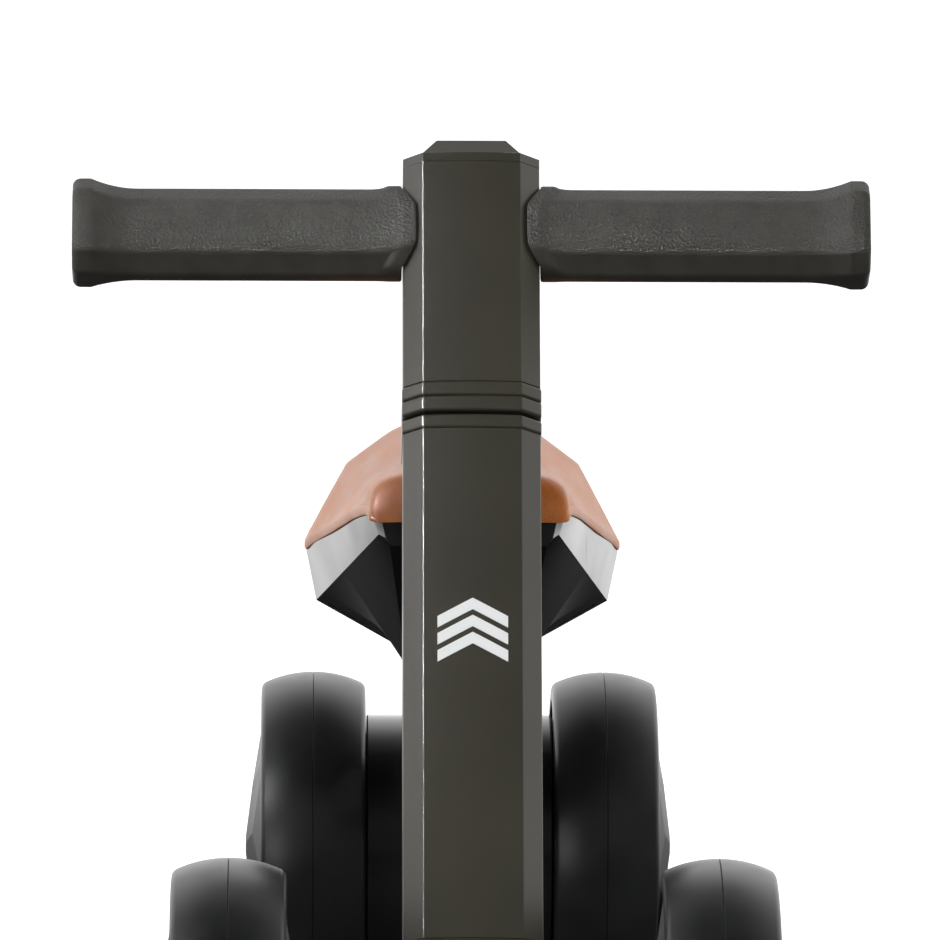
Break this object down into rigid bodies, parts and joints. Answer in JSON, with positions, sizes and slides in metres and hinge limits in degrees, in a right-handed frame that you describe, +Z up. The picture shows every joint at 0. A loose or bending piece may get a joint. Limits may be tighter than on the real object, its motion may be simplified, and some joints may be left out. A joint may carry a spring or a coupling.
{
  "type": "balance bike",
  "caption": "Low toddler balance bike: leaned octagonal stem with a T handlebar, arched leather-look saddle, wide-set front wheels and a close rear pair either side of a round housing.",
  "frame": {"origin": "on the floor, under the centre of the wheelbase", "axes": "-Y is forward, +Z is up, +X is to the rider's left; the wheel axles lie along X"},
  "size_m": [0.2982, 0.53, 0.384],
  "materials": {
    "stem_paint": "satin dark olive-grey powder coat",
    "frame_paint": "satin dark olive-grey powder coat on castings",
    "black_moulding": "satin black moulded nylon",
    "steel": "ground and zinc plated steel",
    "black_steel": "black zinc plated fasteners",
    "grip_rubber": "dark olive-grey moulded rubber, leather grain on the upper facets",
    "tyre_rubber": "smooth black moulded tyre with a parting line",
    "wheel_moulding": "dark semi-gloss moulding with cut facets",
    "seat_leather": "tan leather-look cover over foam",
    "pearl_print": "thin pearl white print"
  },
  "bodies": {
    "frame": {"head_tube": "stem_paint", "front_mark": "pearl_print", "upper_bearing_cup": "stem_paint", "lower_bearing_cup": "stem_paint", "headset_outer_races": "steel", "main_beam": "frame_paint", "rear_axle": "steel", "rear_axle_spacers": "steel", "rear_axle_nuts": "black_steel", "rear_bearing_inner_races": "steel", "rear_drum_left": "black_moulding", "rear_drum_right": "black_moulding", "drum_screws": "black_steel", "seat_base": "black_moulding", "seat_board": "black_moulding", "seat_pad": "seat_leather", "seat_bolts": "black_steel"},
    "steering": {"upper_stem": "stem_paint", "stem_insert": "black_moulding", "stem_cap": "stem_paint", "stem_bolt": "black_steel", "stem_ring": "stem_paint", "bearing_cover": "stem_paint", "steerer_tube": "steel", "steerer_plug": "steel", "headset_inner_races": "steel", "handlebar_core": "steel", "bar_screw": "black_steel", "left_grip": "grip_rubber", "right_grip": "grip_rubber", "grip_screws": "black_steel", "fork_crown": "frame_paint", "steering_stop_pin": "steel", "front_axle": "steel", "front_axle_spacers": "steel", "front_axle_nuts": "black_steel", "front_bearing_inner_races": "steel"},
    "front_left_wheel": {"front_left_tyre": "tyre_rubber", "front_left_rim": "wheel_moulding", "front_left_outer_disc": "wheel_moulding", "front_left_inner_disc": "wheel_moulding", "front_left_bearings": "steel"},
    "front_right_wheel": {"front_right_tyre": "tyre_rubber", "front_right_rim": "wheel_moulding", "front_right_outer_disc": "wheel_moulding", "front_right_inner_disc": "wheel_moulding", "front_right_bearings": "steel"},
    "rear_left_wheel": {"rear_left_tyre": "tyre_rubber", "rear_left_rim": "wheel_moulding", "rear_left_outer_disc": "wheel_moulding", "rear_left_inner_disc": "wheel_moulding", "rear_left_bearings": "steel"},
    "rear_right_wheel": {"rear_right_tyre": "tyre_rubber", "rear_right_rim": "wheel_moulding", "rear_right_outer_disc": "wheel_moulding", "rear_right_inner_disc": "wheel_moulding", "rear_right_bearings": "steel"}
  },
  "joints": [
    {"name": "steering_turn", "type": "hinge", "parent": "frame", "child": "steering", "pos_m": [0, -0.181, 0.07], "axis": [0, 0.4695, 0.8829], "range_deg": [-45, 45]},
    {"name": "front_left_roll", "type": "hinge", "parent": "steering", "child": "front_left_wheel", "pos_m": [0.089, -0.195, 0.07], "axis": [1, 0, 0], "continuous": true},
    {"name": "front_right_roll", "type": "hinge", "parent": "steering", "child": "front_right_wheel", "pos_m": [-0.089, -0.195, 0.07], "axis": [1, 0, 0], "continuous": true},
    {"name": "rear_left_roll", "type": "hinge", "parent": "frame", "child": "rear_left_wheel", "pos_m": [0.0585, 0.195, 0.07], "axis": [1, 0, 0], "continuous": true},
    {"name": "rear_right_roll", "type": "hinge", "parent": "frame", "child": "rear_right_wheel", "pos_m": [-0.0585, 0.195, 0.07], "axis": [1, 0, 0], "continuous": true}
  ]
}
